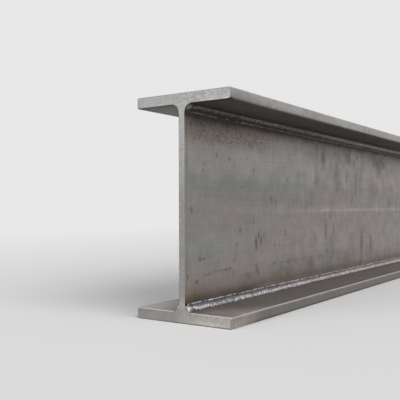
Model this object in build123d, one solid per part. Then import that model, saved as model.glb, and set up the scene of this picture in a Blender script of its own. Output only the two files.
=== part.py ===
from build123d import *
import math
import os

# A welded steel H-beam: three flat plates joined by four long fillet welds.
# Frame: +Z up the section, +Y along the beam, +X across the flanges.
# The origin is on the underside of the bottom flange, at the middle of its width and length.

# Driving dimensions, in millimetres
section_depth = 300.0
flange_width = 150.0
flange_thickness = 15.0
web_thickness = 10.0
beam_length = 6000.0

# Rolled edge of the flange bars
flange_edge_radius = 2.0

# Each weld is three runs. The root run fills the corner from end to end, with a hollow face.
# A wide cap run lies on its face, and a narrow one on the web covers its upper edge.
# Both cap runs are crowned and stop in round noses short of each end.
weld_leg = 8.0
root_run_hollow = 2.0
wide_run_crown = 1.3
bare_root_at_web = 2.8
bare_root_at_flange = 1.3
narrow_run_width = 2.8
narrow_run_crown = 0.8
narrow_run_lap = 0.3
cap_run_setback = 3.0

# Sizes that follow from the driving dimensions
web_depth = section_depth - 2 * flange_thickness
weld_face = weld_leg * math.sqrt(2)
root_run_throat = weld_leg / math.sqrt(2) - root_run_hollow
wide_run_width = weld_face - bare_root_at_web - bare_root_at_flange
wide_run_middle = (bare_root_at_web + wide_run_width / 2) / math.sqrt(2)
narrow_run_height = weld_leg - narrow_run_lap + narrow_run_width / 2


def along_beam(section):
    """Extrudes a section drawn in X and Z over the whole length of the beam."""
    return extrude(Plane.XZ * section, amount=beam_length / 2, both=True)


def flange(height):
    """Flat bar with rolled edges, its middle at this height."""
    bar = RectangleRounded(flange_width, flange_thickness, flange_edge_radius)
    return along_beam(Pos(0, height) * bar)


def web_plate():
    """Upright plate whose edges butt against the inner faces of the flanges."""
    return along_beam(Pos(0, section_depth / 2) * Rectangle(web_thickness, web_depth))


def root_run():
    """First run of a weld, in the corner between +X, along the flange, and +Z, up the web."""
    middle = root_run_throat / math.sqrt(2)
    outline = [
        Line((0, 0), (weld_leg, 0)),
        ThreePointArc((weld_leg, 0), (middle, middle), (0, weld_leg)),
        Line((0, weld_leg), (0, 0)),
    ]
    return along_beam(make_face(outline))


def cap_run(out, up, facing, width, crown):
    """Round-nosed bar whose crown stands out from a line, with the line's middle this far out and up.

    The line is square to the facing direction, an angle from +X towards +Z.
    """
    radius = (width**2 / 4 + crown**2) / (2 * crown)
    straight_length = beam_length - 2 * cap_run_setback - width
    half_outline = SlotCenterToCenter(straight_length, 2 * radius) & (
        Pos(0, radius / 2) * Rectangle(beam_length, radius)
    )
    lying_along_y = Plane((0, 0, 0), x_dir=(0, 1, 0), z_dir=(1, 0, 0))
    bar = revolve(lying_along_y * half_outline, axis=Axis.Y)

    angle = math.radians(facing)
    sunk = radius - crown
    reach = 2 * weld_leg
    corner = Box(
        reach, beam_length, reach, align=(Align.MIN, Align.CENTER, Align.MIN)
    )
    place = Pos(out - sunk * math.cos(angle), 0, up - sunk * math.sin(angle))
    return (place * bar) & corner


def fillet_weld():
    """All runs of one weld as one piece of weld metal, its corner on the Y axis."""
    wide_run = cap_run(
        wide_run_middle, weld_leg - wide_run_middle, 45, wide_run_width, wide_run_crown
    )
    narrow_run = cap_run(0, narrow_run_height, 0, narrow_run_width, narrow_run_crown)
    return root_run() + wide_run + narrow_run


def mirrored(shape, left, top):
    """Turns the lower right weld into the one on another side of the web or under the top flange."""
    if left:
        shape = mirror(shape, about=Plane.YZ)
    if top:
        shape = mirror(shape, about=Plane.XY.offset(section_depth / 2))
    return shape


def weld_seams():
    """The four welds, one in each corner where the web meets a flange."""
    lower_right = Pos(web_thickness / 2, 0, flange_thickness) * fillet_weld()
    return {
        f"weld_{'top' if top else 'bottom'}_{'left' if left else 'right'}": mirrored(
            lower_right, left, top
        )
        for top in (False, True)
        for left in (False, True)
    }


def beam():
    """Every piece of the beam by its node name."""
    return {
        "bottom_flange": flange(flange_thickness / 2),
        "web_plate": web_plate(),
        "top_flange": flange(section_depth - flange_thickness / 2),
        **weld_seams(),
    }


os.makedirs("parts", exist_ok=True)
for name, piece in beam().items():
    export_step(piece, f"parts/{name}.step")
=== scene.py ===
import math
from functools import reduce

import bpy
import numpy as np
from mathutils import Matrix, Vector


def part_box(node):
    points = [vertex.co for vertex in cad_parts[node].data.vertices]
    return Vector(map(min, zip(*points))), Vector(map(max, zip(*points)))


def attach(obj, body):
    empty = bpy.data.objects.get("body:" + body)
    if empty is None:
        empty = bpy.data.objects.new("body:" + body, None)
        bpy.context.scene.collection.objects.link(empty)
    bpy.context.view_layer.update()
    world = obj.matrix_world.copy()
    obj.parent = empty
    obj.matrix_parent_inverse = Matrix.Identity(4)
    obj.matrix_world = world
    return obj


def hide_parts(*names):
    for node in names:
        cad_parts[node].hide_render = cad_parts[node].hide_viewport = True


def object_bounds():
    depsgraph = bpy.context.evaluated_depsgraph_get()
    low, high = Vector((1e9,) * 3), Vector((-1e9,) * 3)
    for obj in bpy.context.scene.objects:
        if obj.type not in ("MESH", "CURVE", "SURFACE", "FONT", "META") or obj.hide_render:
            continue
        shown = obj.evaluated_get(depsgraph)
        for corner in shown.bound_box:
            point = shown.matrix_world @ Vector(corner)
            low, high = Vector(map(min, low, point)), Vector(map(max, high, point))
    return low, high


# The looks of a welded steel H-beam: plates with mill scale, rippled fillet welds and bare sawn ends.
# Meshes are in metres. A size in millimetres is written times MM, and materials work in millimetres.

MM = 0.001

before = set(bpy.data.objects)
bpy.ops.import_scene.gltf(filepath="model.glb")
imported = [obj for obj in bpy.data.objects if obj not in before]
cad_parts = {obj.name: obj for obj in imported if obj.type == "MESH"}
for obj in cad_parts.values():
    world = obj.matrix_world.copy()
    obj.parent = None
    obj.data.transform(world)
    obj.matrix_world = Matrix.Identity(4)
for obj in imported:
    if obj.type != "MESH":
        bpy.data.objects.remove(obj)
cad_low, cad_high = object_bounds()

near_end, far_end = cad_low.y, cad_high.y
beam_length = far_end - near_end
bottom_low, bottom_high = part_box("bottom_flange")
top_low, top_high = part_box("top_flange")
web_low, web_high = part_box("web_plate")
weld_low, weld_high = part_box("weld_bottom_right")
weld_leg = weld_high.x - weld_low.x
weld_height = weld_high.z - weld_low.z

# The camera, placed from the middle of the near end's lower edge
CAMERA_PLACE = Vector((483.95, -656.69, 151.07)) * MM
CAMERA_HEADING = math.radians(34.73)
CAMERA_TILT = math.radians(0.638)
CAMERA_ROLL = math.radians(-0.181)
CAMERA_LENS = 56.515
SENSOR_WIDTH = 36.0

# Rings of points are close together over this stretch from the near end, and further apart beyond
NEAR_STRETCH = 1.0

# Nicks in each flange's long corners
NICKS = 160


def add_object(name, data):
    added = bpy.data.objects.new(name, data)
    bpy.context.scene.collection.objects.link(added)
    return added


def make_camera():
    """The photograph's own view of the beam's near end."""
    data = bpy.data.cameras.new("camera")
    data.lens = CAMERA_LENS
    data.sensor_width = SENSOR_WIDTH
    data.clip_start = 0.01
    data.clip_end = 200.0
    camera = add_object("camera", data)
    turn = (
        Matrix.Rotation(CAMERA_HEADING, 4, "Z")
        @ Matrix.Rotation(math.pi / 2 + CAMERA_TILT, 4, "X")
        @ Matrix.Rotation(CAMERA_ROLL, 4, "Z")
    )
    place = Vector((0, near_end, 0)) + CAMERA_PLACE
    camera.matrix_world = Matrix.Translation(place) @ turn
    bpy.context.scene.camera = camera


# Shapes


def wander(places, stretch, amount, seed):
    """Smooth random drift within plus or minus an amount, which changes over each stretch."""
    knots = np.random.default_rng(seed).uniform(-amount, amount, int(beam_length / stretch) + 3)
    along = (places - near_end) / stretch
    cell = np.floor(along).astype(int)
    part = along - cell
    part = part * part * (3 - 2 * part)
    return knots[cell] * (1 - part) + knots[cell + 1] * part


def stations(near_step, far_step, lip):
    """Places of a bar's rings along the beam, and how far each is drawn in to round the arris."""
    quarter = np.linspace(0, math.pi / 2, 4)
    lip_places = near_end + lip * (1 - np.sin(quarter))[::-1]
    lip_insets = lip * (1 - np.cos(quarter))[::-1]
    fine = np.arange(near_end + lip + near_step, near_end + NEAR_STRETCH, near_step)
    coarse = np.arange(near_end + NEAR_STRETCH, far_end - lip - far_step / 2, far_step)
    places = np.concatenate([lip_places, fine, coarse, near_end + far_end - lip_places[::-1]])
    insets = np.concatenate([lip_insets, np.zeros(len(fine) + len(coarse)), lip_insets[::-1]])
    return places, insets


def link_mesh(name, points, faces, caps, materials, attributes):
    """A piece from rings of points. Its two end caps are flat and take the second material."""
    mesh = bpy.data.meshes.new(name)
    mesh.from_pydata(points.tolist(), [], faces + caps)
    for material in materials:
        mesh.materials.append(material)
    smooth = np.ones(len(mesh.polygons), bool)
    smooth[len(faces) :] = False
    mesh.polygons.foreach_set("use_smooth", smooth)
    slots = np.zeros(len(mesh.polygons), np.int32)
    slots[len(faces) :] = 1
    mesh.polygons.foreach_set("material_index", slots)
    for key, values in attributes.items():
        layer = mesh.attributes.new(key, "FLOAT", "POINT")
        layer.data.foreach_set("value", np.ascontiguousarray(values, np.float32))
    mesh.update()
    return add_object(name, mesh)


def ring_points(x, places, z):
    """Points of rings at these places along the beam."""
    y = np.broadcast_to(places[:, None], x.shape)
    return np.stack([x, y, z], axis=2).reshape(-1, 3)


def tube_faces(rings, around):
    """Quads between neighbouring rings, each of this many points."""
    faces = []
    for ring in range(rings - 1):
        first = ring * around
        for point in range(around):
            following = (point + 1) % around
            faces.append(
                (first + point, first + following, first + around + following, first + around + point)
            )
    return faces


def cap_faces(rings, around):
    """The two end faces of a tube."""
    last = (rings - 1) * around
    return [tuple(reversed(range(around))), tuple(range(last, last + around))]


def bar(name, section, places, insets, materials, seed):
    """A plate along the beam. Its section lists each point, its outward direction, exposure, and wear
    with a painted highlight.
    """
    outline, outward, exposure, corner_wear_and_highlight = section
    rng = np.random.default_rng(seed)
    inward = insets[:, None] * exposure[None, :]
    inward += nick_depths(places, corner_wear_and_highlight, seed)

    # The saw left each cut's outline a little uneven
    inward[[0, -1]] += rng.uniform(0, 0.3 * MM, (2, len(outline))) * exposure[None, :]
    flat = outline[None] - inward[:, :, None] * outward[None]
    rings, around = flat.shape[:2]

    # A cut's arris is bare steel with a painted highlight, shining most along the top, less underneath
    # and least up the sides
    shining = 0.15 + np.where(outward[:, 1] > 0, 0.85, 0.3) * outward[:, 1] ** 2
    bare_and_lit_arris = (insets > 0)[:, None] * (exposure * shining)[None, :]
    wear_and_highlight = np.maximum(bare_and_lit_arris, corner_wear_and_highlight[None, :])
    points = ring_points(flat[:, :, 0], places, flat[:, :, 1])
    faces, caps = tube_faces(rings, around), cap_faces(rings, around)
    return link_mesh(name, points, faces, caps, materials, {"wear_and_highlight": wear_and_highlight.ravel()})


def nick_depths(places, corner_wear_and_highlight, seed):
    """Small dents knocked into the long corners in handling, as depths by ring and point."""
    rng = np.random.default_rng(seed + 50)
    depths = np.zeros((len(places), len(corner_wear_and_highlight)))
    corners = np.flatnonzero(corner_wear_and_highlight > 0)
    if not len(corners):
        return depths
    for _ in range(NICKS):
        middle = rng.uniform(near_end + 0.02, far_end - 0.02)
        half_length = rng.uniform(2, 7) * MM
        depth = rng.uniform(0.1, 0.5) * MM
        point = rng.choice(corners)
        along = np.clip(1 - np.abs(places - middle) / half_length, 0, 1)
        across = np.clip(1 - np.abs(np.arange(len(corner_wear_and_highlight)) - point) / 3, 0, 1)
        depths = np.maximum(depths, depth * along[:, None] * across[None, :])
    return depths


def flange_section(low, high, corners, inner_side):
    """Rounded rectangle, anticlockwise from the lower left. corners give each one's radius, and its wear
    with a painted highlight.
    """
    corner_steps = 6
    weld_toe = web_high.x + weld_leg
    outer = [x * MM for x in (-45, -20, 20, 45)]
    half = [web_high.x, weld_toe, 14 * MM, 20 * MM, 45 * MM]
    inner = [-x for x in half[::-1]] + half
    lower, upper = (outer, inner) if inner_side > 0 else (inner, outer)
    sides = [lower, [], upper[::-1], []]
    places = [(low.x, low.z), (high.x, low.z), (high.x, high.z), (low.x, high.z)]
    points, outward, exposure, wear_and_highlight = [], [], [], []
    for k, ((x, z), (radius, worn_and_lit)) in enumerate(zip(places, corners)):
        centre_x = x + radius * (1 if k in (0, 3) else -1)
        centre_z = z + radius * (1 if k in (0, 1) else -1)
        for step in range(corner_steps + 1):
            angle = math.pi + (k + step / corner_steps) * math.pi / 2
            direction = (math.cos(angle), math.sin(angle))
            points.append((centre_x + radius * direction[0], centre_z + radius * direction[1]))
            outward.append(direction)
            exposure.append(1.0)
            wear_and_highlight.append(worn_and_lit * math.sin(step / corner_steps * math.pi))
        for x in sides[k]:
            joined = sides[k] in (inner, inner[::-1]) and abs(x) < weld_toe + 0.1 * MM
            points.append((x, z))
            outward.append((0, -1 if k == 0 else 1))
            exposure.append(0.0 if joined else 1.0)
            wear_and_highlight.append(0.0)
    return [np.array(values) for values in (points, outward, exposure, wear_and_highlight)]


def web_section():
    """Upright rectangle with points up both faces, anticlockwise from the lower left."""
    rows = np.linspace(web_low.z + weld_leg, web_high.z - weld_leg, 60)
    up = np.concatenate([[web_low.z], rows, [web_high.z]])
    shown = np.ones(len(up))
    shown[[0, 1, -2, -1]] = 0.0
    right = [(web_high.x, z) for z in up]
    left = [(web_low.x, z) for z in up[::-1]]
    points = np.array(right + left)
    outward = np.array([(1, 0)] * len(up) + [(-1, 0)] * len(up))
    exposure = np.concatenate([shown, shown[::-1]])
    return points, outward, exposure, np.zeros(len(points))


# Sizes of a weld's runs. The wide one lies across the face between the toes, the narrow one on the web.
ROOT_HOLLOW = 2 * MM
NARROW_WIDTH, NARROW_CROWN = 2.5 * MM, 0.8 * MM
NARROW_SETBACK, NARROW_NOSE = 4 * MM, 2.5 * MM
WIDE_NOSE = 3.2 * MM
RIPPLE_PITCH = 4.4 * MM
NEAR_RING_STEP, FAR_RING_STEP = 1 * MM, 1.7 * MM
BURIED = 0.3 * MM

# The wide run, at places from the end: its middle across the face from the web's toe, its half width,
# and its crown over the line between the toes. It starts as a ball and thins to a neck.
RUN_PLACES = np.array([0, 6, 9, 12, 16, 20, 26, 36, 120, 200, 320, 600]) * MM
RUN_MIDDLES = np.array([4.6, 4.4, 4.3, 4.2, 4.3, 5.3, 6.2, 5.6, 5.6, 5.3, 4.8, 4.2]) * MM
RUN_HALVES = np.array([5.2, 5, 4.2, 2.4, 2.7, 3.6, 4.1, 4.1, 4.2, 4.1, 4.4, 4.4]) * MM
RUN_CROWNS = np.array([1.6, 1.7, 1, -0.2, 0.5, 1, 1.2, 1.25, 1.25, 1.2, 1.2, 1.1]) * MM

# Under the top flange it lies this much further from the web, and its half width is this much more
TOP_RUN_SHIFT, TOP_RUN_SPREAD = 0.8 * MM, 0.5 * MM

# In these tables of light a row is a place, in millimetres from the end, and a level there
NARROW_LIGHT = ((4, 1), (7, 1), (8.5, 0.3), (11, 0.3), (13, 1))
WIDE_LIGHT = (
    (7, 0.6), (9, 0.75), (13, 1.05), (16, 1.25), (22, 1), (60, 0.9), (68, 0.84), (88, 0.9),
    (95, 1.02), (180, 1), (300, 0.82),
)
TOP_WIDE_LIGHT = ((28, 0.75), (36, 0.5), (130, 0.5), (180, 0.6), (400, 0.63), (600, 0.9))

# How much of the narrow run's length shines
COVER = (
    (10, 0.9), (14, 1.4), (30, 1.4), (32, 0.2), (44, 0.2), (47, 0.85), (62, 0.85), (66, 1.35),
    (90, 1.35), (93, 0.3), (128, 0.3), (132, 1), (200, 0.95), (400, 0.8),
)
TOP_COVER = ((50, 1.5), (70, 1))

# Light across the wide run, from -1 at its upper edge to 1 at its lower edge
ACROSS_LIGHT = ((-1, 0.62), (-0.25, 0.72), (0.15, 0.8), (0.63, 0.93), (0.8, 1))
TOP_ACROSS_LIGHT = ((-1, 0.6), (-0.25, 0.85), (0.15, 0.92), (0.63, 1))


def read_off(values, table):
    """Straight lines between a table's rows, each a place and a level."""
    return np.interp(values, *np.transpose(table))


def change(from_end, low, high, before, after):
    """Goes evenly from one value to another between two places, in millimetres from the end."""
    return read_off(from_end / MM, ((low, before), (high, after)))


def swell(past_start, nose):
    """Rises from 0 to 1 as a run's round nose does, over its length past the start."""
    short = np.clip(1 - past_start / nose, 0, 1)
    return np.where(past_start < 0, 0, np.sqrt(1 - short**2))


def hump(values, middle, width):
    """1 at the middle, falling away to nothing within about twice this width."""
    return np.exp(-(((values - middle) / width) ** 2))


def ripples(places, trail, seed):
    """Wave of solidified ripples about 0, its crests this far behind at each point across the run."""
    drift = wander(places, 0.024, 1.8 * MM, seed) + wander(places, 0.007, 0.7 * MM, seed + 1)
    phase = 2 * math.pi * (places[:, None] + trail[None, :] + drift[:, None]) / RIPPLE_PITCH
    wave = np.sin(phase + 0.6 * np.sin(phase))
    strength = 1 + wander(places, 0.031, 0.45, seed + 2)
    return wave * strength[:, None]


def narrow_run(places, from_end, top, seed):
    """How far out, how high and how bright the narrow run is, by ring and from its edge down the web."""
    step = np.array([-1, -0.75, -0.35, 0.1, 0.55, 0.9])
    rounded = 1 - step**2
    half = NARROW_WIDTH / 2 + wander(places, 0.012, 0.3 * MM, seed + 1)
    edge = weld_height + 0.2 * MM + wander(places, 0.015, 0.35 * MM, seed + 2)
    edge += change(from_end, 150, 400, 0, 0.5 * MM)
    edge -= 0.4 * MM if top else 0
    crown = NARROW_CROWN + wander(places, 0.0095, 0.35 * MM, seed + 3)
    wave = ripples(places, 1.2 * MM * rounded, seed + 4)
    shape = rounded * swell(from_end - NARROW_SETBACK, NARROW_NOSE)[:, None]
    out = shape * (crown[:, None] + 0.18 * MM * wave)
    up = edge[:, None] - half[:, None] * (1 + step)

    # It shines in stretches, and less after its nose
    cover = read_off(from_end / MM, TOP_COVER if top else COVER)
    broken = change(from_end, 200, 400, 1.1, 0.3) * wander(places, 0.0055, 1, seed + 5)
    shining = np.clip(cover + broken, 0, 1) * read_off(from_end / MM, NARROW_LIGHT)
    return out, up, shape * (0.85 + 0.4 * wave) * shining[:, None]


def start_light(from_end, past_start, across, offset):
    """Painted highlights where the wide run starts: its ball, bright on its front rim and middle, its
    neck, and its lower side past the ball.
    """
    ball = (past_start > 0) * change(from_end, 8, 11, 1, 0)[:, None] * (np.abs(offset) < 1)
    rim = 0.44 + 0.5 * hump(past_start, 0.5 * MM, 0.6 * MM)
    shaded = np.interp(across, [4.4 * MM, 6.4 * MM, 9 * MM], [1, 0.75, 0.6])
    glint = hump(from_end, 5.8 * MM, 1.3 * MM)[:, None] * hump(across, 4.2 * MM, 1.3 * MM)
    neck_glint = hump(from_end, 18.5 * MM, 1.2 * MM)[:, None] * hump(across, 7 * MM, 1 * MM)
    # Painted light on the run's lower side just past the ball
    lit_below_ball = change(from_end, 6, 26, 0.22, 0)[:, None] * (across > 5 * MM)
    return np.maximum(ball * (shaded * rim + 0.7 * glint), np.maximum(lit_below_ball, 0.8 * neck_glint))


def wide_run(places, from_end, top, seed):
    """How far out, how high and how bright the root run and the wide run on it are, from toe to toe."""
    rng = np.random.default_rng(seed + 11)
    face = weld_leg * math.sqrt(2)
    across = np.array([0.5, 1.2, 1.9, 2.6, 3.4, 4.4, 5.5, 6.6, 7.6, 8.5, 9.3, 10.2, 11.31]) * MM
    hollow = -ROOT_HOLLOW * (1 - (2 * across / face - 1) ** 2)
    middle = np.interp(from_end, RUN_PLACES, RUN_MIDDLES)
    middle += wander(places, 0.019, 0.3 * MM, seed + 6) + wander(places, 0.006, 0.15 * MM, seed + 12)
    middle += TOP_RUN_SHIFT if top else 0
    half = np.interp(from_end, RUN_PLACES, RUN_HALVES) + wander(places, 0.006, 0.5 * MM, seed + 13)
    half += TOP_RUN_SPREAD if top else 0
    crown = np.interp(from_end, RUN_PLACES, RUN_CROWNS)
    crown += wander(places, 0.023, 0.25 * MM, seed + 7) + wander(places, 0.005, 0.15 * MM, seed + 10)
    offset = (across - middle[:, None]) / half[:, None]
    within = np.clip(1 - offset**2, 0, 1)

    # The ripples are low on the ball, full after the neck and calmer further from the end
    settled = change(from_end, 180, 380, 1, 0.45)[:, None]
    trail = 3 * MM * (1 - np.clip((across / face - 0.5) * 2.6, -1, 1) ** 2)
    wave = ripples(places, trail, seed + 8)
    wave *= change(from_end, 20, 70, 0.4, 1)[:, None] * settled
    rough = rng.normal(0, 0.1 * MM, offset.shape) * settled
    start = np.interp(across, [0, 5 * MM, face], [3 * MM, 1.2 * MM, 0.6 * MM])
    past_start = from_end[:, None] - start
    over_root = within * (crown + ROOT_HOLLOW)[:, None] + within**0.5 * (0.2 * MM * wave + rough)
    over_root = np.maximum(over_root * swell(past_start, WIDE_NOSE), 0)
    height = hollow + over_root
    leg = weld_leg + wander(places, 0.016, 0.35 * MM, seed + 9)
    leg[:2] = leg[-2:] = weld_leg
    out = leg[:, None] * (across / face) + height / math.sqrt(2)
    up = weld_leg * (1 - across / face) + height / math.sqrt(2)

    # Crests are bright and valleys dull, and painted highlights make them brightest on the lower side
    # with uneven sparkle. The strip of bare root run above them gets a faint painted sheen too, on the
    # lower weld.
    light = np.clip(1.5 * over_root / (1.2 * MM + ROOT_HOLLOW), 0, 1)
    grain = change(from_end, 20, 50, 0.08, 0.24)[:, None] * rng.normal(0, 1, offset.shape)
    sparkle = change(from_end, 30, 60, 0, 1) * wander(places, 2.6 * MM, 0.32, seed + 15)
    light *= 0.8 + (0.35 if top else 0.5) * wave + (grain + sparkle[:, None]) * settled
    light *= read_off(offset, TOP_ACROSS_LIGHT if top else ACROSS_LIGHT)
    light *= read_off(from_end / MM, TOP_WIDE_LIGHT if top else WIDE_LIGHT)[:, None]
    light = np.maximum(light, start_light(from_end, past_start, across, offset))
    if not top:
        light = np.maximum(light, (0.27 + 0.05 * wave) * (across < 2.6 * MM))
    return out, up, light


def weld(name, side, top, materials, seed):
    """One fillet weld in the corner on this side of the web, on the bottom or under the top flange."""
    fine = np.arange(near_end + NEAR_RING_STEP, near_end + NEAR_STRETCH, NEAR_RING_STEP)
    coarse = np.arange(near_end + NEAR_STRETCH, far_end - 1.5 * MM, FAR_RING_STEP)
    near_rings, far_rings = [near_end, near_end + 0.5 * MM], [far_end - 0.5 * MM, far_end]
    places = np.concatenate([near_rings, fine, coarse, far_rings])
    rings = len(places)
    from_end = np.minimum(places - near_end, far_end - places)
    narrow_out, narrow_up, narrow_light = narrow_run(places, from_end, top, seed)
    wide_out, wide_up, wide_light = wide_run(places, from_end, top, seed)

    # Away from the sawn ends the toes and the corner reach a little into the plates
    buried = np.full((rings, 1), BURIED)
    buried[0] = buried[-1] = 0
    narrow_out[:, :1] -= buried
    wide_up[:, -1:] -= buried
    out = np.concatenate([narrow_out, wide_out, -buried], axis=1)
    up = np.concatenate([narrow_up, wide_up, -buried], axis=1)
    # Each point's brightness, from ripple crests and painted highlights
    crest_and_highlight = np.concatenate([narrow_light, wide_light, np.zeros((rings, 1))], axis=1)

    around = out.shape[1]
    height = top_low.z - up if top else bottom_high.z + up
    points = ring_points(side * (web_high.x + out), places, height)
    faces, caps = tube_faces(rings, around), cap_faces(rings, around)
    if (side > 0) != top:
        faces = [tuple(reversed(face)) for face in faces]
        caps = [tuple(reversed(cap)) for cap in caps]
    return link_mesh(name, points, faces, caps, materials, {"crest_and_highlight": crest_and_highlight.ravel()})


# Materials


class Look:
    """Short calls that build one material's nodes, with places in millimetres."""

    def __init__(self, name):
        self.material = bpy.data.materials.new(name)
        self.material.use_nodes = True
        self.tree = self.material.node_tree
        self.tree.nodes.clear()
        self.shader = self.node("BsdfPrincipled")
        self.output = self.node("OutputMaterial")
        self.tree.links.new(self.shader.outputs[0], self.output.inputs["Surface"])
        coordinates = self.node("TexCoord").outputs["Object"]
        self.place = self.vector("MULTIPLY", coordinates, (1 / MM, 1 / MM, 1 / MM))
        self.x, self.y, self.z = self.parts(self.place)
        self.from_end = self.less(self.y, near_end / MM)

    def node(self, kind, settings=None, **sockets):
        made = self.tree.nodes.new("ShaderNode" + kind)
        for key, value in (settings or {}).items():
            setattr(made, key, value)
        for key, value in sockets.items():
            self.put(made.inputs[key], value)
        return made

    def put(self, socket, value):
        if isinstance(value, bpy.types.NodeSocket):
            self.tree.links.new(value, socket)
        else:
            socket.default_value = value

    def filled(self, kind, settings, values):
        """A node with these values in its first sockets."""
        made = self.node(kind, settings)
        for socket, value in zip(made.inputs, values):
            self.put(socket, value)
        return made.outputs

    def math(self, operation, *values):
        return self.filled("Math", {"operation": operation}, values)[0]

    def vector(self, operation, *values):
        outputs = self.filled("VectorMath", {"operation": operation}, values)
        return outputs["Value" if operation == "LENGTH" else "Vector"]

    def parts(self, vector):
        return self.node("SeparateXYZ", Vector=vector).outputs

    def linear(self, value, gain, shift):
        """A value times a gain, then shifted."""
        return self.math("MULTIPLY_ADD", value, gain, shift)

    def less(self, value, taken):
        return self.math("SUBTRACT", value, taken)

    def step(self, value, low, high, bottom=0, top=1):
        """Eases from bottom to top as the value goes from low to high."""
        values = (value, low, high, bottom, top)
        return self.filled("MapRange", {"interpolation_type": "SMOOTHSTEP"}, values)[0]

    def along(self, low, high, bottom=0, top=1):
        """A step between two places from the near end."""
        return self.step(self.from_end, low, high, bottom, top)

    def up(self, low, high, bottom=0, top=1):
        """A step between two heights."""
        return self.step(self.z, low, high, bottom, top)

    def between(self, value, low, lower, upper, high):
        """1 from lower to upper, easing to 0 at low and high."""
        return self.product(self.step(value, low, lower), self.step(value, high, upper))

    def ramp(self, value, stops):
        """Straight lines between stops, each given as a place and a level from 0 to 1."""
        low, high = stops[0][0], stops[-1][0]
        part = self.math("DIVIDE", self.less(value, low), high - low)
        made = self.node("ValToRGB", Fac=part)
        elements = made.color_ramp.elements
        while len(elements) < len(stops):
            elements.new(1)
        for element, (place, level) in zip(elements, stops):
            element.position = (place - low) / (high - low)
            element.color = (level, level, level, 1)
        return made.outputs["Color"]

    def noise(self, size, detail=3, roughness=0.5, output="Fac", place=None):
        """Noise between 0 and 1 whose lumps have this size, in millimetres, along X, Y and Z."""
        sizes = size if isinstance(size, tuple) else (size, size, size)
        scaled = self.vector("MULTIPLY", place or self.place, tuple(1 / s for s in sizes))
        made = self.node("TexNoise", Vector=scaled, Scale=1, Detail=detail, Roughness=roughness)
        return made.outputs[output]

    def warped(self, size, detail, reach):
        """Places that noise shifts to and fro, up to half this reach."""
        shift = self.vector("SUBTRACT", self.noise(size, detail, output="Color"), (0.5, 0.5, 0.5))
        return self.vector("MULTIPLY_ADD", shift, reach, self.place)

    def dots(self, size, smallest, largest):
        """1 in scattered dots of differing radius, in millimetres, in cells of this size."""
        scaled = self.vector("MULTIPLY", self.place, tuple(1 / s for s in size))
        cells = self.node("TexVoronoi", Vector=scaled, Scale=1)
        chance = self.parts(cells.outputs["Color"])[0]
        radius = self.linear(self.math("POWER", chance, 3), largest - smallest, smallest)
        near = self.math("DIVIDE", self.product(cells.outputs["Distance"], min(size)), radius)
        return self.step(near, 1.15, 0.5)

    def sway(self, value, amount):
        """A multiplier about 1 from noise about 0.5."""
        return self.linear(value, 2 * amount, 1 - amount)

    def swing(self, value, amount, gain=2):
        """A multiplier about 1 from noise about 0.5, by an amount that isn't the same all over."""
        swung = self.product(self.less(value, 0.5), amount)
        return self.linear(swung, gain, 1)

    def joined(self, operation, values):
        return reduce(lambda first, second: self.math(operation, first, second), values)

    def product(self, *values):
        return self.joined("MULTIPLY", values)

    def largest(self, *values):
        return self.joined("MAXIMUM", values)

    def darker(self, mask, amount):
        """A multiplier that falls from 1 by this amount where the mask is 1."""
        return self.less(1, self.product(mask, amount))

    def shaded(self, tone, *shades):
        """A tone made darker by each shade, a mask and an amount. Less than 0 makes it lighter."""
        return self.product(tone, *(self.darker(mask, amount) for mask, amount in shades))

    def mix(self, factor, first, second):
        made = self.node("Mix", {"data_type": "RGBA"})
        for key, value in (("Factor", factor), (6, first), (7, second)):
            self.put(made.inputs[key], value)
        return made.outputs[2]

    def tinted(self, colour, tone):
        return self.node("VectorMath", {"operation": "SCALE"}, Vector=colour, Scale=tone).outputs[0]

    def bump(self, height, distance, under=None):
        """Relief from a height between 0 and 1, this many millimetres deep."""
        made = self.node("Bump", Height=height, Strength=1, Distance=distance * MM)
        if under is not None:
            self.put(made.inputs["Normal"], under)
        return made.outputs[0]

    def attribute(self, name):
        return self.node("Attribute", {"attribute_name": name}).outputs["Fac"]

    def normal(self):
        return self.parts(self.node("NewGeometry").outputs["Normal"])

    def spots(self, marks, place):
        """Soft-edged marks: from the end, height, half length, half height, strength out of 10."""
        found = []
        for from_end, height, half_length, half_height, strength in marks:
            size = (1 / 6, 1 / (1.25 * half_length + 0.6), 1 / (1.25 * half_height + 0.6))
            centre = (web_high.x / MM, near_end / MM + from_end, height)
            shift = tuple(-c * s for c, s in zip(centre, size))
            away = self.vector("LENGTH", self.vector("MULTIPLY_ADD", place, size, shift))
            found.append(self.step(away, 0.1, 1.25, strength / 10, 0))
        return self.largest(*found)

    def finish(self, colour, metallic, roughness, normal):
        values = {"Base Color": colour, "Metallic": metallic, "Roughness": roughness, "Normal": normal}
        for key, value in values.items():
            self.put(self.shader.inputs[key], value)
        return self.material


def grey(level, warm=0):
    """A linear grey, warmed by pulling blue down and red up."""
    return (level * (1 + warm), level, level * (1 - warm), 1)


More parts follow.
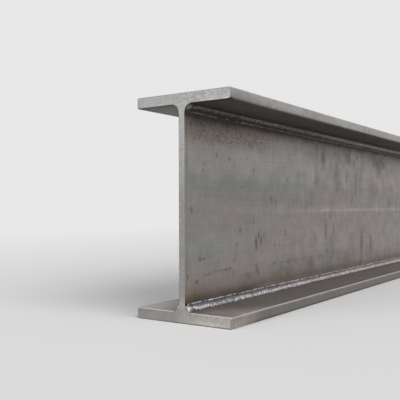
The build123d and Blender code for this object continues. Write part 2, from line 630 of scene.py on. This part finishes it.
# Marks on the web: from the near end, height, half length, half height, strength out of 10
WEB_MARKS = (
    (26, 51, 3, 2, 7), (34, 81, 3, 2, 7), (43, 81, 3, 1, 8), (15, 147, 2, 4, 6), (5, 60, 1, 3, 6),
    (75, 223, 2, 3, 4), (109, 220, 3, 2, 6), (159, 224, 3, 1, 4), (45, 210, 3, 3, 3),
    (42, 201, 2, 2, 4), (179, 207, 3, 2, 4), (145, 180, 3, 1, 5), (235, 163, 4, 5, 4),
    (250, 159, 3, 4, 4), (291, 197, 3, 4, 4), (185, 96, 3, 12, 9), (193, 107, 3, 5, 7),
    (200, 99, 3, 7, 6), (210, 106, 2, 4, 6), (178, 130, 2, 5, 3), (138, 117, 3, 5, 4),
    (129, 96, 3, 3, 4), (126, 85, 2, 6, 2), (122, 75, 3, 4, 4), (282, 108, 4, 5, 4), (261, 89, 2, 5, 4),
    (246, 90, 5, 3, 3), (244, 61, 6, 1, 5), (271, 60, 7, 1, 5), (291, 60, 7, 1, 5), (316, 60, 9, 1, 4),
    (345, 59, 9, 1, 4), (385, 60, 12, 1, 3), (425, 60, 14, 1, 4), (325, 58, 7, 5, 3),
    (438, 241, 6, 16, 4), (500, 222, 5, 14, 3), (603, 198, 4, 24, 5), (612, 215, 3, 20, 4),
    (596, 235, 6, 14, 4), (640, 232, 9, 8, 3), (820, 155, 6, 7, 4), (471, 133, 6, 12, 3),
    (449, 106, 6, 16, 4), (487, 105, 6, 14, 3), (637, 75, 8, 32, 4), (692, 68, 7, 24, 4),
    (402, 92, 4, 14, 3), (655, 95, 5, 14, 3), (720, 257, 9, 5, 4), (738, 248, 9, 5, 5),
    (760, 255, 8, 6, 5), (772, 262, 8, 4, 4), (614, 254, 7, 5, 4), (571, 264, 8, 5, 4),
    (452, 68, 6, 6, 3), (118, 57, 4, 4, 3),
)
WEB_BLOTCHES = (
    (268, 48, 9, 8, 4), (292, 44, 8, 6, 3), (190, 52, 6, 8, 4), (160, 48, 12, 6, 3),
    (408, 222, 10, 40, 2), (508, 218, 14, 42, 3), (440, 240, 12, 18, 3), (562, 247, 16, 12, 5),
    (632, 208, 12, 20, 3), (700, 256, 12, 8, 4), (716, 248, 18, 13, 4), (746, 243, 18, 16, 6),
    (776, 250, 18, 12, 6), (746, 226, 14, 9, 4), (785, 186, 12, 12, 2), (480, 75, 12, 26, 3),
    (582, 74, 12, 30, 2), (637, 74, 12, 34, 2), (692, 70, 12, 24, 2), (65, 245, 30, 7, 1.5),
    (185, 247, 36, 6, 2), (620, 118, 75, 16, 0.8), (620, 203, 75, 16, 0.9), (379, 49, 14, 7, 3),
)
RUST_MARKS = ((52, 59, 9, 1.2, 6), (90, 62, 20, 1, 5), (100, 62, 4, 2, 7), (109, 62, 3, 2.2, 8))

# Greener, pinker and lighter patches of scale, given as the marks are
GREEN_PATCHES = (
    (50, 100, 60, 34, 10), (15, 150, 50, 30, 4), (350, 218, 60, 26, 8), (475, 226, 90, 26, 10),
    (605, 225, 50, 26, 8), (480, 50, 60, 20, 9),
)
PINK_PATCHES = ((118, 232, 34, 12, 10),)
LIGHT_PATCHES = ((625, 242, 75, 20, 10), (480, 238, 60, 14, 5), (250, 252, 60, 14, 8))

# Colours of the web's scale
PINK_SCALE = (0.265, 0.24, 0.227, 1)
GREEN_SCALE = (0.247, 0.246, 0.233, 1)
SPECKLED_SCALE = (0.27, 0.226, 0.198, 1)
BLOTCHED_SCALE = (0.262, 0.222, 0.2, 1)
BROWN_SCALE = (0.288, 0.2335, 0.203, 1)
RUST = (0.16, 0.075, 0.065, 1)

# Tints of heat beside the welds: the colour, and where it lies, given as the marks are
OLIVE_MARKS = (
    (20, 33, 12, 7, 9), (24, 267, 10, 6, 10), (246, 42, 16, 6, 5), (557, 50, 12, 20, 6),
    (782, 44, 14, 14, 7),
)
HEAT_TINTS = (
    ((0.245, 0.2, 0.2, 1), ((28, 52, 22, 10, 6), (32, 260, 24, 3, 6), (5, 255, 4, 22, 6))),
    ((0.285, 0.212, 0.178, 1), ((36, 31, 34, 7, 8), (16, 45, 20, 10, 5))),
    ((0.215, 0.205, 0.125, 1), OLIVE_MARKS),
)

# How light the scale is, by millimetres from the flange, above the lower weld and below the upper one,
# and the distance towards which this heat narrows further from the end
LOWER_HEAT = (
    (8, 0.28), (12, 0.3), (15, 0.37), (18, 0.5), (22, 0.66), (27, 0.79), (33, 0.9), (40, 0.96),
    (52, 1),
)
UPPER_HEAT = (
    (8, 0.16), (14, 0.2), (16, 0.33), (19, 0.54), (22, 0.68), (27, 0.84), (34, 0.94), (45, 1),
)
HEAT_MIDDLE = 14

# Heights of the pale line that rolling left on the web, and of the wider, fainter one around it
LINE_HEIGHT, WIDE_LINE_HEIGHT = 144.6, 145.5


def web_colour(look, banded, drifted):
    """Pinkish scale that is greener in a level band near the end, in patches and further along."""
    band = look.product(
        look.between(banded, 169, 178, 234, 241),
        look.along(430, 340),
        look.along(10, 30, 0.7),
        look.step(banded, 206, 190, 0.72, 1),
        look.darker(look.spots(PINK_PATCHES, drifted), 1),
    )
    far = look.step(look.noise((900, 150, 60)), 0.55, 0.68)
    near = look.step(look.noise((60, 26, 24)), 0.46, 0.6, 0, 0.4)
    green = look.largest(
        look.spots(GREEN_PATCHES, drifted),
        band,
        look.product(far, look.along(500, 900)),
        look.product(near, look.along(420, 200)),
    )
    return look.mix(green, PINK_SCALE, GREEN_SCALE)


def web_tone(look, banded, drifted, grain, mottle, smeared, streaks):
    """How light the scale is: its grain, clouds and upright streaks, the level bands of rolling, and
    painted light on its upper part.
    """
    rolled = look.noise((60, 120, 3.2))
    blotches = look.noise((60, 40, 34), detail=6, roughness=0.68)
    streaky = look.step(look.noise((900, 110, 70), detail=2), 0.44, 0.6, 0.15, 1)
    smears = look.step(look.noise((60, 13, 85), detail=4, roughness=0.6), 0.53, 0.68)
    smears = look.product(smears, streaky, look.along(280, 430))
    drifted_height = look.parts(drifted)[2]
    tone = look.product(
        look.sway(grain, 0.28),
        look.sway(mottle, 0.25),
        look.sway(smeared, 0.2),
        look.sway(rolled, 0.13),
        look.darker(smears, 0.19),
        look.swing(streaks, look.product(look.along(120, 400, 0.1, 0.34), streaky)),
        look.swing(blotches, look.along(120, 400, 0.12, 0.48)),
        look.along(100, 420, 1, 1.03),
        # Painted light lifts the upper part of the web
        look.step(drifted_height, 180, 214, 0.96, 1.18),
        look.step(banded, 124, 100, 1.02, 1.09),
    )
    light_top = look.along(150, 240, 237, 260)
    light_band = look.product(
        look.step(look.less(banded, light_top), 4, -4),
        look.step(banded, 198, 230),
        look.along(50, 160),
        look.along(440, 330),
    )
    light_band = look.largest(light_band, look.spots(LIGHT_PATCHES, drifted))
    dark_band = look.product(
        look.between(banded, 150, 164, 186, 198), look.along(15, 90), look.along(260, 110, 0.5, 1)
    )
    low_shade = look.product(look.step(banded, 76, 56), look.along(150, 340), look.along(660, 540))
    near_shade = look.product(look.between(banded, 235, 244, 258, 268), look.along(55, 25))
    shades = (light_band, -0.13), (dark_band, 0.08), (low_shade, 0.14), (near_shade, 0.14)
    return look.shaded(tone, *shades)


def rust_speckles(look, colour, tone, below_top, mottle):
    """Scale speckled by rust, in a band under the top weld near the end and thinly elsewhere."""
    band = look.product(look.between(below_top, 13, 20, 40, 54), look.along(310, 150), look.along(7, 12))
    speckles = look.product(
        look.dots((60, 5, 5), 0.6, 2.3),
        look.step(below_top, 19, 28),
        look.step(look.noise(16, detail=2), 0.38, 0.52),
    )
    flecks = look.step(look.noise((60, 2.9, 2), detail=2), 0.53, 0.7)
    dashes = look.step(look.noise((60, 6.5, 2.8)), 0.53, 0.68)
    clustered = look.step(look.noise((60, 15, 9), detail=2), 0.4, 0.58, 0.45, 1.1)
    crowded = look.product(look.largest(speckles, flecks, dashes), band, clustered)
    sparse = look.product(look.dots((60, 15, 15), 0.2, 1.5), look.step(mottle, 0.42, 0.6, 0.3, 1))
    colour = look.mix(look.product(band, look.noise(7, detail=2)), colour, SPECKLED_SCALE)
    return colour, look.shaded(tone, (crowded, 0.66), (sparse, 0.22))


def weld_heat(look, colour, tone):
    """Heat of the welds: black beside the toes, then brown. The stain narrows further from the end."""
    heat_edge = look.noise((60, 26, 20))
    for flange_face, sign, heat, narrowing, settled, palest in (
        (web_low.z / MM, 1, LOWER_HEAT, look.along(180, 560, 1, 1.45), (110, 230), 0.59),
        (web_high.z / MM, -1, UPPER_HEAT, look.along(60, 250, 1, 1.66), (200, 400), 0.17),
    ):
        away = look.product(look.less(look.z, flange_face), sign)
        away = look.math("ADD", away, 4.5 - HEAT_MIDDLE)
        wavering = look.linear(heat_edge, -9, away)
        wavering = look.linear(wavering, narrowing, HEAT_MIDDLE)
        colour = look.mix(look.step(wavering, 42, 14, 0, 0.9), colour, BROWN_SCALE)
        least = look.along(*settled, 0.1, palest)
        tone = look.product(tone, look.largest(look.ramp(wavering, heat), least))
    return colour, tone


def web_material():
    """Mill scale of the web, with bands of rolling, rust, runs and the heat of the welds."""
    look = Look("web_mill_scale")
    drifted = look.warped(40, 3, (0, 90, 60))
    banded = look.less(look.z, 5)
    banded = look.linear(look.noise(40), 10, banded)
    grain = look.noise(1.8, roughness=0.7)
    mottle = look.noise((60, 34, 30), detail=4, roughness=0.6)
    smeared = look.noise((60, 5, 20), detail=4, roughness=0.65)
    streaks = look.noise((60, 17, 70), detail=5, roughness=0.62)
    below_top = look.less(web_high.z / MM, look.z)
    colour = web_colour(look, banded, drifted)
    tone = web_tone(look, banded, drifted, grain, mottle, smeared, streaks)
    colour, tone = rust_speckles(look, colour, tone, below_top, mottle)

    # Marks and ragged blotches
    warped = look.warped(3, 2, (0, 5.5, 6.5))
    ragged = look.warped(10, 4, (0, 26, 34))
    blotches = look.product(look.spots(WEB_BLOTCHES, ragged), look.step(streaks, 0.3, 0.55, 0.4, 1))
    tone = look.shaded(tone, (look.spots(WEB_MARKS, warped), 0.8), (blotches, 0.9))
    colour = look.mix(blotches, colour, BLOTCHED_SCALE)
    colour = look.mix(look.spots(RUST_MARKS, warped), colour, RUST)

    # Dark runs that hang from the top weld, further from the end
    run_length = look.noise((900, 34, 900), roughness=0.65)
    run_length = look.step(run_length, 0.48, 0.74, 9, 100)
    hung = look.linear(smeared, 14, below_top)
    runs = look.product(
        look.step(look.math("DIVIDE", hung, run_length), 1.1, 0.3),
        look.along(240, 430),
        look.step(look.noise((60, 9, 14), detail=4, roughness=0.65), 0.34, 0.62),
    )
    colour, tone = weld_heat(look, colour, look.shaded(tone, (runs, 0.48)))
    for tint, marks in HEAT_TINTS:
        colour = look.mix(look.spots(marks, warped), colour, tint)

    # A pale line that rolling left along the middle, worn away in places
    unworn = look.between(look.from_end, 620, 660, 850, 1000)
    unworn = look.largest(look.step(look.noise((60, 46, 60), detail=2), 0.42, 0.56), unworn)
    off_line = look.math("ABSOLUTE", look.less(look.z, LINE_HEIGHT))
    off_wide_line = look.math("ABSOLUTE", look.less(banded, WIDE_LINE_HEIGHT))
    line = look.product(
        look.step(off_line, 3.6, 1), unworn, look.along(120, 380), look.along(300, 560, 0.12, 0.3)
    )
    wide_line = look.product(look.step(off_wide_line, 9, 3), look.along(60, 150))
    pale = look.linear(wide_line, 0.07, look.math("ADD", line, 1))

    # Beside the cut, lines across the web and a darker upper part
    cut = look.along(9, 4)
    lined = look.product(cut, look.noise((60, 1.6, 400), detail=1))
    upper_cut = look.product(cut, look.up(180, 215))
    tone = look.shaded(look.product(tone, pale), (lined, 0.22), (upper_cut, 0.12))
    roughness = look.step(mottle, 0.3, 0.7, 0.45, 0.58)
    relief = look.bump(mottle, 0.5, look.bump(grain, 0.05))
    return look.finish(look.tinted(colour, tone), 0.55, roughness, relief)


# Colours on the flanges: brown patches, the lower one's side where the coolant wiped it, and worn
# corners that also carry a painted highlight
BROWN_PATCHES = (0.19, 0.135, 0.11, 1)
WIPED_SIDE = (0.194, 0.166, 0.147, 1)
WORN_AND_LIT_STEEL = grey(0.5, 0.03)


def flange_material(name, side_colour, inner_colour, outer_colour, inner_sign, scorch_and_shade, pale_end):
    """Mill scale in a colour for the sides, one for the face with the welds and one for the far face.
    These colours carry painted light and shade.
    """
    look = Look(name)
    facing_x, _, facing_z = look.normal()
    side = look.step(look.math("ABSOLUTE", facing_x), 0.35, 0.9)
    inner = look.step(look.product(facing_z, inner_sign), 0.3, 0.7)
    from_web = look.math("ABSOLUTE", look.x)
    grain = look.noise(1.9, roughness=0.7)
    mottle = look.noise((34, 46, 34), detail=4, roughness=0.6)
    rolled = look.noise((4, 170, 3.2), roughness=0.6)
    cross = look.noise((24, 3, 24), detail=2)
    brown = look.step(look.noise(45), 0.5, 0.66, 0, 0.35)
    colour = look.mix(side, look.mix(inner, outer_colour, inner_colour), side_colour)
    colour = look.mix(brown, colour, BROWN_PATCHES)
    tone = look.product(
        look.sway(grain, 0.54),
        look.sway(mottle, 0.24),
        look.sway(rolled, 0.24),
        look.sway(cross, 0.28),
    )

    # Scorched beside the welds, with painted contact shade along their toes
    toe = (web_high.x + weld_leg) / MM
    wavering = look.linear(look.noise((30, 26, 30)), -8, from_web)
    scorched_and_shaded = look.product(inner, look.step(wavering, toe + 12, toe - 3))

    # The saw's coolant wiped the end, further in towards the edge, and left it pale on the lower flange
    reach = look.math("DIVIDE", look.from_end, look.linear(from_web, 1.5, 15))
    reach = look.product(reach, look.linear(side, 0.65, 1))
    lit_below_ball = look.step(look.linear(mottle, 0.5, reach), 1.45, 0.4)
    lit_below_ball = look.product(lit_below_ball, look.step(from_web, 15, 50, 0.1, 1))

    # The sides are a little lighter along their upper edge
    crown = (top_high.z if inner_sign < 0 else bottom_high.z) / MM
    edge = look.product(side, look.up(crown - 3.6, crown - 2))
    edge_shade = -0.14 if inner_sign < 0 else -0.28
    dots = look.dots((9, 9, 9), 0.3, 1.9)
    tone = look.shaded(tone, (dots, 0.26), (scorched_and_shaded, scorch_and_shade), (lit_below_ball, -pale_end), (edge, edge_shade))

    # Worn corners and their painted highlight are dull on the sides near the end, and so is the upper
    # flange's end arris at the top
    worn_and_lit = look.step(look.attribute("wear_and_highlight"), 0.35, 0.9)
    worn_and_lit = look.shaded(worn_and_lit, (look.product(look.along(1.4, 2.4), look.along(70, 20)), 0.5))
    if inner_sign < 0:
        end_arris = look.product(look.up(crown - 4, crown - 2), look.along(1.8, 1.2))
        worn_and_lit = look.shaded(worn_and_lit, (end_arris, 0.8))
        tone = upper_flange_tone(look, tone, side, inner, from_web)
    else:
        tone = lower_flange_tone(look, tone, side, inner, from_web)
        colour = look.mix(look.product(side, lit_below_ball), colour, WIPED_SIDE)
    colour = look.mix(worn_and_lit, look.tinted(colour, tone), WORN_AND_LIT_STEEL)
    relief = look.bump(mottle, 0.3, look.bump(grain, 0.06))
    return look.finish(colour, 0.55, look.step(mottle, 0.3, 0.7, 0.44, 0.58), relief)


def upper_flange_tone(look, tone, side, inner, from_web):
    """Painted shade under its end's edge, and darker further in underneath. Its side has paler patches, a
    shaded start and dark edges.
    """
    patches = look.step(look.noise((26, 22, 12), detail=4, roughness=0.65), 0.48, 0.66)
    low, high, tip = top_low.z / MM, top_high.z / MM, top_high.x / MM
    return look.shaded(
        tone,
        # Painted shade on the underside just behind the end's edge
        (look.product(inner, look.along(14, 3)), 0.66),
        (look.product(inner, look.along(60, 320)), 0.46),
        (look.product(side, patches), -0.16),
        (look.product(side, look.along(125, 90)), look.up(high - 8.5, high - 5.5, 0.08, -0.06)),
        (look.product(look.up(low + 3.4, low + 1.2), side), 0.28),
        (look.product(look.up(high - 1.6, high - 0.8), look.step(from_web, tip - 2.5, tip - 1.5)), 0.3),
    )


def lower_flange_tone(look, tone, side, inner, from_web):
    """Painted shade along its side's foot. Near the end the side is darker higher up. Its top is lighter
    outwards.
    """
    return look.shaded(
        tone,
        # Painted shade along the foot of the side
        (look.product(side, look.up(3.6, 1.2), look.along(20, 80)), 0.46),
        (look.product(inner, look.step(from_web, 30, 70)), -0.04),
        (look.product(side, look.along(60, 15), look.up(5, 11, -0.08, 0.16)), 1),
    )


def sawn_material():
    """Bare steel of the cut ends, with the saw's marks."""
    look = Look("sawn_steel")
    grain = look.noise(1.3, detail=2, roughness=0.8)
    lumps = look.noise(3.6, roughness=0.6)
    cuts = look.noise((70, 1, 1.3), detail=2)
    patch = look.noise(22)

    # The saw's marks slant on the upper flange's right half
    turned = look.node("VectorRotate", {"rotation_type": "Y_AXIS"}, Vector=look.place, Angle=math.pi / 4)
    slanted = look.noise((9, 70, 0.9), detail=2, place=turned.outputs[0])
    cuts = look.mix(look.product(look.up(282, 286), look.step(look.x, 0, 12)), cuts, slanted)

    # Calmer on the web, the left and the lower flange, and warmer lower down. Painted reflection makes it
    # lighter lower down and a little at the top, the web darker below its middle and lighter close under
    # the top flange, and the lower flange darker on its left and lighter on its lower right. A painted
    # highlight shines on the top flange's lower right edge.
    calm = look.product(
        look.darker(look.between(look.z, 16, 28, 270, 284), 0.35),
        look.step(look.x, 8, -10, 1, 0.55),
        look.up(15, 30, 0.7, 1),
    )
    # Painted highlight along the top flange's lower right edge
    painted_edge_highlight = look.product(look.between(look.z, 284, 285, 285.8, 288.2), look.step(look.x, 14, 64))
    tone = look.product(
        look.swing(grain, calm, 1.5),
        look.swing(lumps, calm, 1.1),
        look.swing(cuts, calm, 0.7),
        look.sway(patch, 0.18),
        look.up(215, 240, 1, 1.03),
        look.up(75, 45, 1, 1.09),
        look.up(50, 22, 1, 1.09),
    )
    tone = look.shaded(
        tone,
        (look.between(look.z, 20, 42, 160, 222), 0.19),
        (look.product(look.up(26, 14), look.step(look.x, 50, -30)), 0.3),
        (look.product(look.up(12, 3), look.step(look.x, -40, 30)), -0.15),
        (look.between(look.z, 262, 276, 284, 288), -0.12),
        (painted_edge_highlight, -0.5),
    )
    warm = look.largest(look.up(110, 40), painted_edge_highlight)
    colour = look.tinted(look.mix(warm, grey(0.37, 0.01), grey(0.37, 0.05)), tone)
    relief = look.bump(cuts, 0.05, look.bump(grain, 0.05))
    return look.finish(colour, 0.6, look.step(patch, 0.3, 0.7, 0.42, 0.52), relief)


def weld_material(name, bright_colour, dull_colour, warmth, metallic, shine, speckle):
    """Weld metal, bright on its crests and in painted highlights. Further from the end it is warmer and
    its flecks fainter.
    """
    look = Look(name)
    grain = look.noise(1.2, roughness=0.8)
    patch = look.noise((20, 24, 20))
    flecks = look.step(look.noise((1.6, 2.1, 1.6), detail=2), 0.4, 0.6)
    flecks = look.product(
        look.less(flecks, 0.5),
        look.step(look.noise((40, 30, 40), detail=2), 0.42, 0.62, 0.5, 1.25),
        look.along(180, 380, 1, 0.45),
        look.along(25, 90, 0.45, 1),
    )
    bright = look.product(
        look.step(look.attribute("crest_and_highlight"), 0.1, 0.85),
        look.step(patch, 0.3, 0.6, 0.65, 1),
        look.linear(flecks, speckle, 0.72),
    )
    colour = look.mix(bright, dull_colour, bright_colour)
    colour = look.tinted(colour, look.sway(grain, min(0.4 * speckle, 0.7)))
    warmer = look.mix(look.along(120, 560), (1, 1, 1, 1), (1 + warmth, 1, 1 - warmth, 1))
    colour = look.vector("MULTIPLY", colour, warmer)
    roughness = look.step(bright, 0.1, 0.9, 0.55, shine)
    return look.finish(colour, metallic, roughness, look.bump(grain, 0.15))


# Light, floor and background

# Levels of what is seen, and of what lights the beam
BACKGROUND, FLOOR = 0.806, 0.8
FLOOR_GLOW, SKY_LIGHT, FRONT_LIGHT, RIGHT_LIGHT = 0.12, 0.5, 0.28, 0.62

# How wide each lamp looks from the beam
LAMP_WIDTH = math.radians(50)

# The floor is a disc, in metres. It fades between these millimetres from the beam.
FLOOR_RADIUS, FLOOR_SIDES = 60, 64
FADE_START, FADE_END = 300, 2600


def seen(tree):
    """1 for rays that show the scene, to the eye or in a reflection, and 0 for rays that light it."""
    path = tree.nodes.new("ShaderNodeLightPath")
    shown = path.outputs["Is Camera Ray"]
    for ray in ("Is Glossy Ray", "Is Transmission Ray"):
        either = tree.nodes.new("ShaderNodeMath")
        either.operation = "MAXIMUM"
        tree.links.new(shown, either.inputs[0])
        tree.links.new(path.outputs[ray], either.inputs[1])
        shown = either.outputs[0]
    return shown


def mix_shaders(tree, factor, first, second):
    made = tree.nodes.new("ShaderNodeMixShader")
    for socket, value in zip(made.inputs, (factor, first, second)):
        tree.links.new(value, socket)
    return made.outputs[0]


def make_world():
    """An even sky that lights the beam, and a plain pale background to look at."""
    world = bpy.data.worlds.new("studio")
    bpy.context.scene.world = world
    world.use_nodes = True
    tree = world.node_tree
    tree.nodes.clear()
    light = tree.nodes.new("ShaderNodeBackground")
    light.inputs["Strength"].default_value = SKY_LIGHT
    pale = tree.nodes.new("ShaderNodeBackground")
    pale.inputs["Color"].default_value = grey(BACKGROUND)
    output = tree.nodes.new("ShaderNodeOutputWorld")
    tree.links.new(mix_shaders(tree, seen(tree), light.outputs[0], pale.outputs[0]), output.inputs[0])


def make_lamp(name, direction, level):
    """A wide soft light from far away in this direction, so that the whole beam is lit alike."""
    data = bpy.data.lights.new(name, "SUN")
    data.energy = level * math.pi
    data.angle = LAMP_WIDTH
    turn = Vector(direction).to_track_quat("Z", "Y")
    add_object(name, data).rotation_euler = turn.to_euler()


def make_floor():
    """Pale floor that throws little light back up and fades into the background away from the beam."""
    look = Look("floor_paint")
    tree = look.tree
    look.shader.inputs["Roughness"].default_value = 0.9
    look.shader.inputs["Specular IOR Level"].default_value = 0
    shown = seen(tree)
    look.put(look.shader.inputs["Base Color"], look.mix(shown, grey(FLOOR_GLOW), grey(FLOOR)))
    dark = look.node("BsdfDiffuse", Color=grey(FLOOR_GLOW))
    glow = look.node("Emission", Color=grey(BACKGROUND))
    beyond = mix_shaders(tree, shown, dark.outputs[0], glow.outputs[0])

    folded = look.vector("ABSOLUTE", look.place)
    outside = look.vector("SUBTRACT", folded, (cad_high.x / MM, far_end / MM, 0))
    flat = look.vector("MULTIPLY", look.vector("MAXIMUM", outside, (0, 0, 0)), (1, 1, 0))
    faded = look.step(look.vector("LENGTH", flat), FADE_START, FADE_END)
    blend = mix_shaders(tree, faded, look.shader.outputs[0], beyond)
    tree.links.new(blend, look.output.inputs["Surface"])

    turns = [2 * math.pi * k / FLOOR_SIDES for k in range(FLOOR_SIDES)]
    rim = [(FLOOR_RADIUS * math.cos(turn), FLOOR_RADIUS * math.sin(turn), 0) for turn in turns]
    mesh = bpy.data.meshes.new("floor")
    mesh.from_pydata(rim, [], [tuple(range(FLOOR_SIDES))])
    mesh.materials.append(look.material)
    floor = add_object("floor", mesh)
    floor.location.z = cad_low.z - 0.2 * MM


# Building

bpy.context.scene.view_settings.view_transform = "Standard"
make_camera()
make_world()
make_lamp("front_light", (-0.35, -0.94, 0.58), FRONT_LIGHT)
make_lamp("right_light", (0.95, -0.3, 0.7), RIGHT_LIGHT)
make_floor()

sawn = sawn_material()
plate_places, plate_insets = stations(near_step=3.5 * MM, far_step=22 * MM, lip=0.9 * MM)
web_places, web_insets = stations(near_step=10 * MM, far_step=50 * MM, lip=0.6 * MM)

# Each flange: its box, its corners' radii and wear with a painted highlight from the lower left, where
# its welds are, its colours on the sides, inside and outside, which carry painted light and shade, how
# scorched and shaded it is beside the welds, how pale its end is, and its seed
FLANGES = (
    (
        "bottom_flange",
        (bottom_low, bottom_high),
        ((3, 0.3), (0.6, 0.2), (2, 0.85), (1.2, 0.8)),
        1,
        # The lower flange's side colour is darker than the upper flange's side, as painted shade
        ((0.181, 0.168, 0.162, 1), (0.17, 0.152, 0.14, 1), (0.17, 0.152, 0.14, 1)),
        (0.2, 0.9, 11),
    ),
    (
        "top_flange",
        (top_low, top_high),
        ((1.2, 0.5), (3.6, 0.3), (2, 0.4), (1.5, 0.5)),
        -1,
        # The upper flange's side colour is painted lighter and its underside colour much darker, as
        # painted shade
        ((0.36, 0.343, 0.331, 1), (0.124, 0.103, 0.089, 1), (0.25, 0.238, 0.226, 1)),
        (0.5, -0.1, 21),
    ),
)
pieces = {}
for node, box, corners, inner_side, colours, (scorch_and_shade, pale_end, seed) in FLANGES:
    section = flange_section(*box, [(radius * MM, worn_and_lit) for radius, worn_and_lit in corners], inner_side)
    scale = flange_material(f"{node}_mill_scale", *colours, inner_side, scorch_and_shade, pale_end)
    pieces[node] = bar(f"{node}_steel", section, plate_places, plate_insets, [scale, sawn], seed)
web_metals = [web_material(), sawn]
pieces["web_plate"] = bar("web_steel", web_section(), web_places, web_insets, web_metals, 31)
lower_weld_metal = weld_material(
    "weld_metal",
    (0.93, 0.91, 0.92, 1),
    (0.095, 0.088, 0.092, 1),
    warmth=0.055,
    metallic=0.75,
    shine=0.3,
    speckle=1.3,
)
# The upper welds get a darker copy of the weld metal, as painted shade under the top flange
shaded_upper_weld_metal = weld_material(
    "shaded_weld_metal",
    (0.4, 0.395, 0.38, 1),
    (0.055, 0.051, 0.048, 1),
    warmth=0.08,
    metallic=0.6,
    shine=0.45,
    speckle=1.8,
)
for number, (side, side_name) in enumerate(((1, "right"), (-1, "left"))):
    for level, (top, level_name) in enumerate(((False, "bottom"), (True, "top"))):
        node = f"weld_{level_name}_{side_name}"
        metal = shaded_upper_weld_metal if top else lower_weld_metal
        pieces[node] = weld(f"{node}_bead", side, top, [metal, sawn], 100 + 40 * number + 20 * level)

for node, piece in pieces.items():
    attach(piece, "root")
    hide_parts(node)
